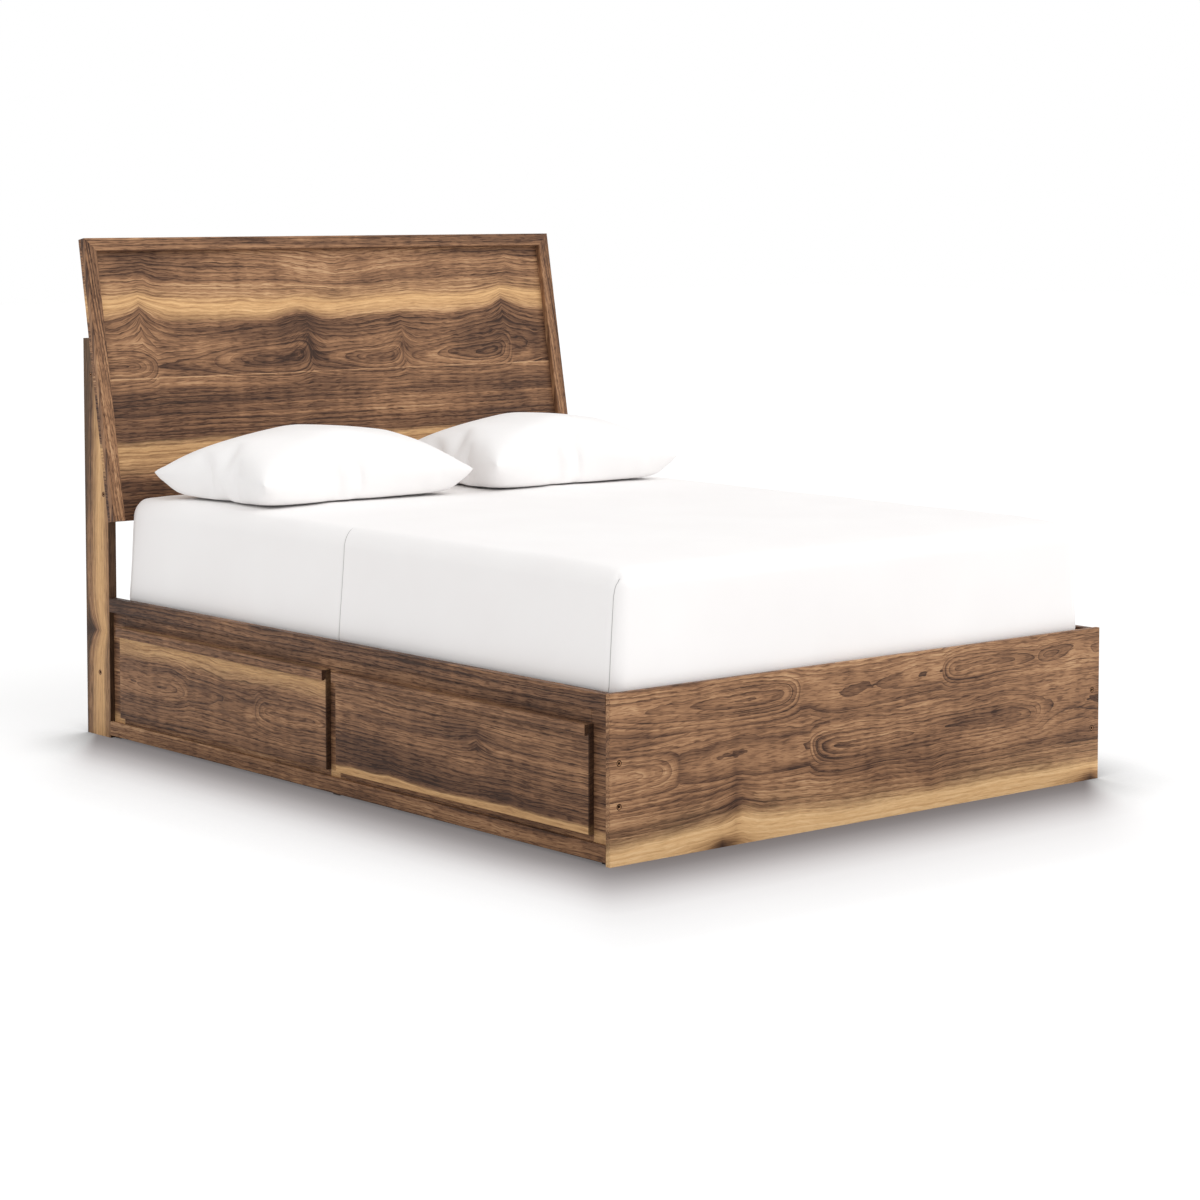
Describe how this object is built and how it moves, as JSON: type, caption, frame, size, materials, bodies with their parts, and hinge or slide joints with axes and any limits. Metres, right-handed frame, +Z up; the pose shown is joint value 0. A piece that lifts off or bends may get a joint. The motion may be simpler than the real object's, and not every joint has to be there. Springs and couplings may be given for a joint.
{
  "type": "storage platform bed",
  "caption": "Queen platform bed in walnut with a leaning framed headboard, a slatted deck with mattress and pillows, and storage drawers on ball runners along both sides.",
  "frame": {"origin": "on the floor, at the middle of the bed's bounding box", "axes": "+Y towards the headboard, +Z up, +X across the bed to the right as seen from the foot"},
  "size_m": [1.628, 2.2184, 1.3405],
  "materials": {
    "walnut_footboard": "open-grain walnut veneer, matt lacquer",
    "walnut_headboard": "figured walnut veneer, matt lacquer",
    "walnut_across": "solid walnut, matt lacquer",
    "walnut_moulding": "solid walnut, matt lacquer",
    "walnut_leg": "solid walnut with a sapwood streak, matt lacquer",
    "walnut_lengthwise": "solid walnut, matt lacquer",
    "walnut_stile": "solid walnut, matt lacquer",
    "walnut_drawer_head": "walnut veneer, matt lacquer",
    "walnut_drawer_foot": "walnut veneer, matt lacquer",
    "walnut_pull": "solid walnut, matt lacquer",
    "birch_box": "clear lacquered birch plywood",
    "birch_panel": "clear lacquered birch plywood",
    "slat_wood": "planed birch",
    "runner_steel": "zinc-plated steel",
    "bolt_bronze": "dark bronze finish",
    "glide_nylon": "black nylon",
    "mattress_cover": "white knitted cover",
    "pillow_cotton": "white cotton"
  },
  "bodies": {
    "bed": {"footboard": "walnut_footboard", "headboard_panel": "walnut_headboard", "headboard_top_rail": "walnut_across", "headboard_left_stile": "walnut_moulding", "headboard_right_stile": "walnut_moulding", "left_leg": "walnut_leg", "right_leg": "walnut_leg", "back_rails": "walnut_across", "left_top_rail": "walnut_lengthwise", "left_bottom_rail": "walnut_lengthwise", "left_foot_upright": "walnut_stile", "left_centre_upright": "walnut_stile", "left_head_upright": "walnut_stile", "right_top_rail": "walnut_lengthwise", "right_bottom_rail": "walnut_lengthwise", "right_foot_upright": "walnut_stile", "right_centre_upright": "walnut_stile", "right_head_upright": "walnut_stile", "back_panels": "birch_panel", "inner_rails": "walnut_stile", "slats": "slat_wood", "slat_ledgers": "slat_wood", "floor_glides": "glide_nylon", "connector_bolts": "bolt_bronze", "runner_case_members": "runner_steel", "mattress": "mattress_cover", "left_pillow": "pillow_cotton", "right_pillow": "pillow_cotton"},
    "left_head_drawer": {"left_head_drawer_front": "walnut_drawer_head", "left_head_drawer_pull": "walnut_pull", "left_head_drawer_foot_side": "birch_box", "left_head_drawer_head_side": "birch_box", "left_head_drawer_rear": "birch_box", "left_head_drawer_tray": "birch_panel", "left_head_drawer_box_members": "runner_steel"},
    "left_head_middle_runners": {"left_head_drawer_middle_members": "runner_steel"},
    "left_foot_drawer": {"left_foot_drawer_front": "walnut_drawer_foot", "left_foot_drawer_pull": "walnut_pull", "left_foot_drawer_foot_side": "birch_box", "left_foot_drawer_head_side": "birch_box", "left_foot_drawer_rear": "birch_box", "left_foot_drawer_tray": "birch_panel", "left_foot_drawer_box_members": "runner_steel"},
    "left_foot_middle_runners": {"left_foot_drawer_middle_members": "runner_steel"},
    "right_head_drawer": {"right_head_drawer_front": "walnut_drawer_head", "right_head_drawer_pull": "walnut_pull", "right_head_drawer_foot_side": "birch_box", "right_head_drawer_head_side": "birch_box", "right_head_drawer_rear": "birch_box", "right_head_drawer_tray": "birch_panel", "right_head_drawer_box_members": "runner_steel"},
    "right_head_middle_runners": {"right_head_drawer_middle_members": "runner_steel"},
    "right_foot_drawer": {"right_foot_drawer_front": "walnut_drawer_foot", "right_foot_drawer_pull": "walnut_pull", "right_foot_drawer_foot_side": "birch_box", "right_foot_drawer_head_side": "birch_box", "right_foot_drawer_rear": "birch_box", "right_foot_drawer_tray": "birch_panel", "right_foot_drawer_box_members": "runner_steel"},
    "right_foot_middle_runners": {"right_foot_drawer_middle_members": "runner_steel"}
  },
  "joints": [
    {"name": "left_head_drawer_slide", "type": "slide", "parent": "bed", "child": "left_head_drawer", "axis": [-1, 0, 0], "range_m": [0, 0.38]},
    {"name": "left_head_runner_slide", "type": "slide", "parent": "bed", "child": "left_head_middle_runners", "axis": [-1, 0, 0], "range_m": [0, 0.19]},
    {"name": "left_foot_drawer_slide", "type": "slide", "parent": "bed", "child": "left_foot_drawer", "axis": [-1, 0, 0], "range_m": [0, 0.38]},
    {"name": "left_foot_runner_slide", "type": "slide", "parent": "bed", "child": "left_foot_middle_runners", "axis": [-1, 0, 0], "range_m": [0, 0.19]},
    {"name": "right_head_drawer_slide", "type": "slide", "parent": "bed", "child": "right_head_drawer", "axis": [1, 0, 0], "range_m": [0, 0.38]},
    {"name": "right_head_runner_slide", "type": "slide", "parent": "bed", "child": "right_head_middle_runners", "axis": [1, 0, 0], "range_m": [0, 0.19]},
    {"name": "right_foot_drawer_slide", "type": "slide", "parent": "bed", "child": "right_foot_drawer", "axis": [1, 0, 0], "range_m": [0, 0.38]},
    {"name": "right_foot_runner_slide", "type": "slide", "parent": "bed", "child": "right_foot_middle_runners", "axis": [1, 0, 0], "range_m": [0, 0.19]}
  ],
  "couplings": [
    {"joint": "left_head_runner_slide", "follows": "left_head_drawer_slide", "ratio": 0.5},
    {"joint": "left_foot_runner_slide", "follows": "left_foot_drawer_slide", "ratio": 0.5},
    {"joint": "right_head_runner_slide", "follows": "right_head_drawer_slide", "ratio": 0.5},
    {"joint": "right_foot_runner_slide", "follows": "right_foot_drawer_slide", "ratio": 0.5}
  ]
}
